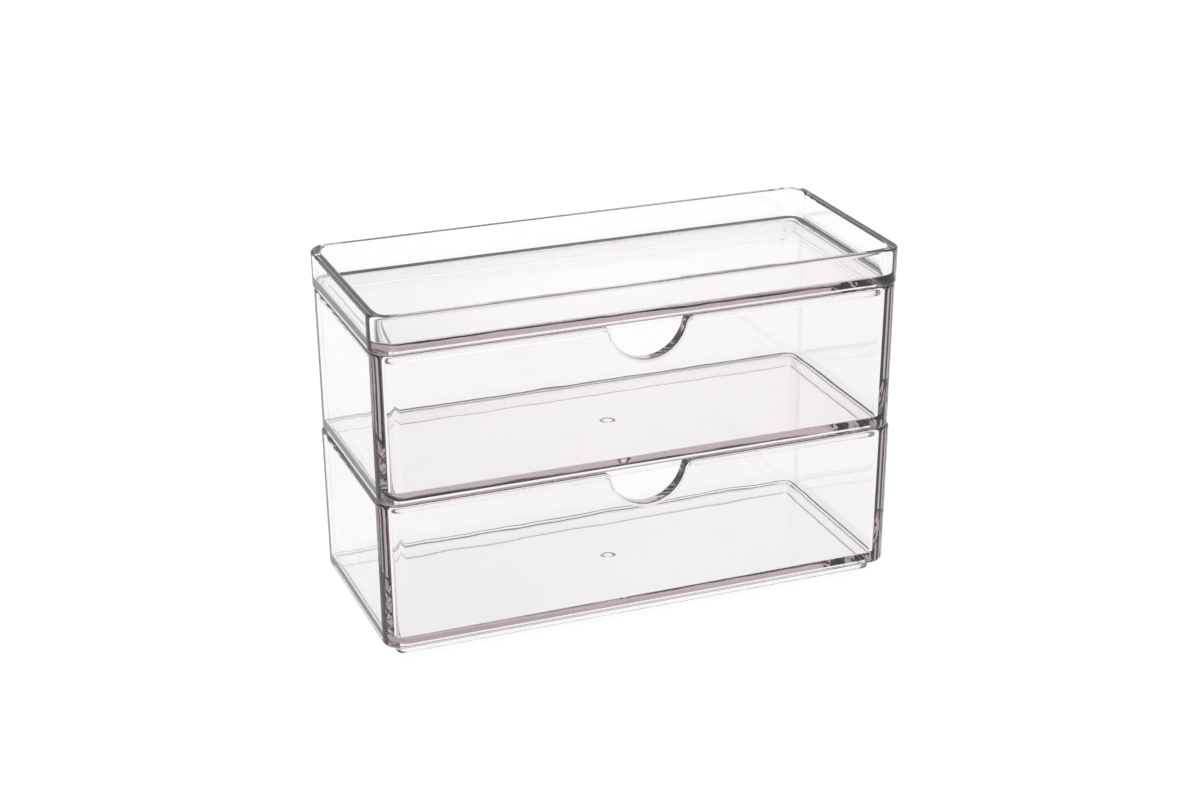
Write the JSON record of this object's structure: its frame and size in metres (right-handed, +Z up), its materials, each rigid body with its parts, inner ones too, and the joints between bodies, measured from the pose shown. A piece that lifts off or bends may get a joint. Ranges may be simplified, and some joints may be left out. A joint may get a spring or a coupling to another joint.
{
  "type": "stackable organizer box",
  "caption": "Clear plastic organizer: open-top boxes with finger notches stack rim to foot and are closed by a shallow tray lid, for sorting craft supplies and small parts.",
  "frame": {"origin": "centre of the underside of the lower box's foot ring, at the whole stack's bottom centre", "axes": "+X to the right along the front, +Y from the notched front to the back, +Z up"},
  "size_m": [0.178, 0.077, 0.1152],
  "materials": {
    "clear_box": "clear, polished",
    "clear_lid": "clear, polished"
  },
  "bodies": {
    "lower": {"lower_box": "clear_box"},
    "upper": {"upper_box": "clear_box"},
    "lid": {"lid_tray": "clear_lid"}
  },
  "joints": [
    {"name": "upper_lift", "type": "slide", "parent": "lower", "child": "upper", "axis": [0, 0, 1], "range_m": [0, 0.06]},
    {"name": "lid_lift", "type": "slide", "parent": "upper", "child": "lid", "axis": [0, 0, 1], "range_m": [0, 0.06]}
  ]
}
